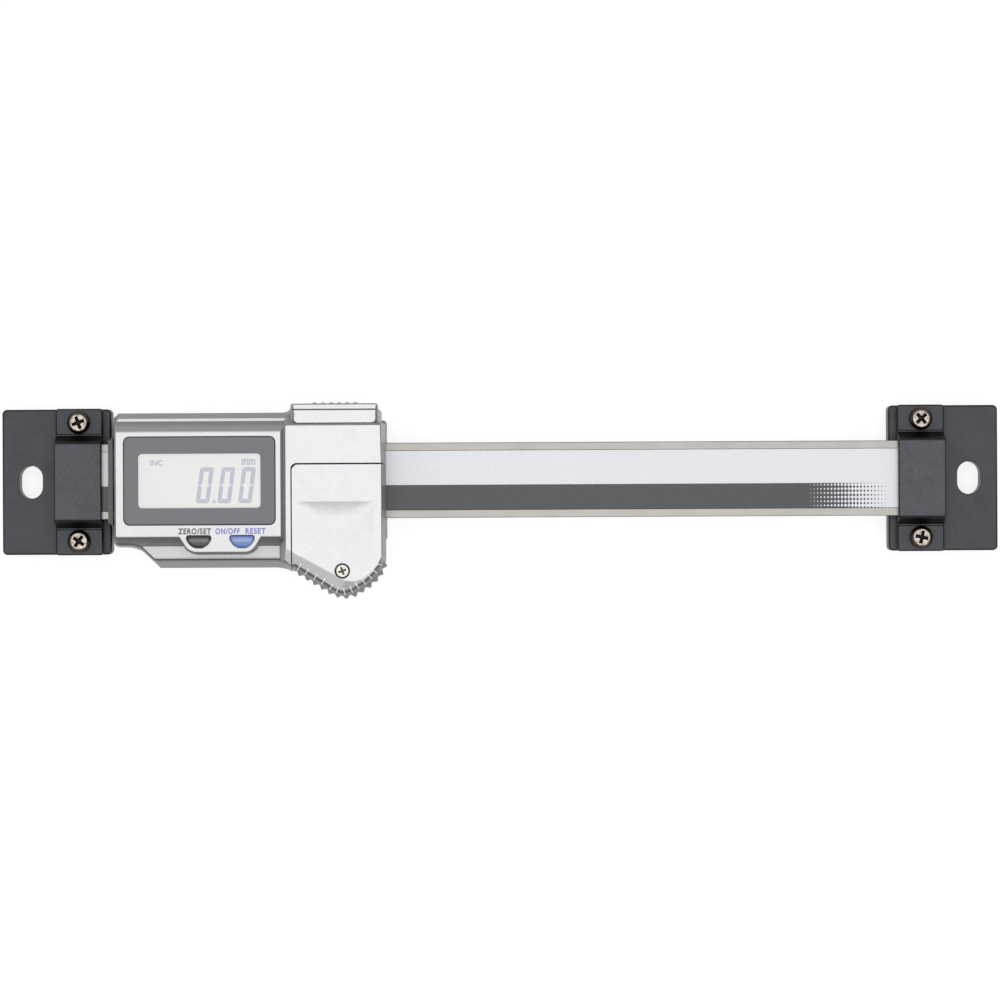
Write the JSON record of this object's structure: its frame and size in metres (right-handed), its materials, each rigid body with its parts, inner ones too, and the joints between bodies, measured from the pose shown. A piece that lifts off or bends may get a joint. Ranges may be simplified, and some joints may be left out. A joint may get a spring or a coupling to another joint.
{
  "type": "linear scale unit",
  "caption": "Digital linear scale: a flat beam held between two slotted end brackets, with a sliding reading head that carries a display and keys.",
  "frame": {"origin": "midway between the two fixing slots, on the plane that the end brackets are screwed to", "axes": "+X along the beam from the bracket that the head rests at towards the far bracket, +Y across the beam away from the keys, +Z out of the display"},
  "size_m": [0.2122, 0.0417, 0.0182],
  "materials": {
    "beam_steel": "brushed",
    "scale_laminate": "matt",
    "scale_label": "satin film, silver over dark grey",
    "black_bracket": "satin black coat",
    "screw_steel": "nickel plated",
    "small_screws": "nickel plated",
    "slider_alloy": "fine machined",
    "end_plates": "satin",
    "wiper_rubber": "matt",
    "bronze": "satin",
    "circuit_board": "solder mask",
    "black_plastic": "satin",
    "components": "satin",
    "spring_metal": "plated",
    "white_plastic": "satin",
    "lcd": "satin reflective display",
    "window_grey": "satin printed window",
    "silver_case": "silver satin paint",
    "cell_steel": "plated steel",
    "key_black": "satin",
    "key_blue": "satin"
  },
  "bodies": {
    "beam": {"scale_beam": "beam_steel", "scale_board": "scale_laminate", "scale_film": "scale_label", "left_bracket": "black_bracket", "right_bracket": "black_bracket", "left_clamp": "black_bracket", "right_clamp": "black_bracket", "left_clamp_screws": "screw_steel", "right_clamp_screws": "screw_steel"},
    "head": {"gib_screws": "small_screws", "board_screws": "small_screws", "case_screws": "small_screws", "cover_screw": "small_screws", "end_cap_screws": "small_screws", "slider_frame": "slider_alloy", "left_end_cap": "end_plates", "right_end_cap": "end_plates", "left_wiper": "wiper_rubber", "right_wiper": "wiper_rubber", "window_seal": "wiper_rubber", "case_gasket": "wiper_rubber", "cover_seal": "wiper_rubber", "key_membrane": "wiper_rubber", "zebra_strips": "wiper_rubber", "gib_strip": "bronze", "sensor_board": "circuit_board", "main_board": "circuit_board", "measuring_chip": "black_plastic", "output_connector": "black_plastic", "battery_tray": "black_plastic", "board_parts": "components", "key_domes": "spring_metal", "battery_contact_minus": "spring_metal", "connector_pins": "spring_metal", "battery_contact_plus": "spring_metal", "lcd_frame": "white_plastic", "lcd_panel": "lcd", "window": "window_grey", "front_case": "silver_case", "cover": "silver_case", "battery": "cell_steel"},
    "zero_key": {"zero_key": "key_black"},
    "origin_key": {"origin_key": "key_blue"}
  },
  "joints": [
    {"name": "head_slide", "type": "slide", "parent": "beam", "child": "head", "axis": [1, 0, 0], "range_m": [-0.0002, 0.1068]},
    {"name": "zero_key_press", "type": "slide", "parent": "head", "child": "zero_key", "axis": [0, 0, -1], "range_m": [0, 0.0004], "stiffness_N_per_m": 2000, "springref_m": -0.0003},
    {"name": "origin_key_press", "type": "slide", "parent": "head", "child": "origin_key", "axis": [0, 0, -1], "range_m": [0, 0.0004], "stiffness_N_per_m": 2000, "springref_m": -0.0003}
  ]
}
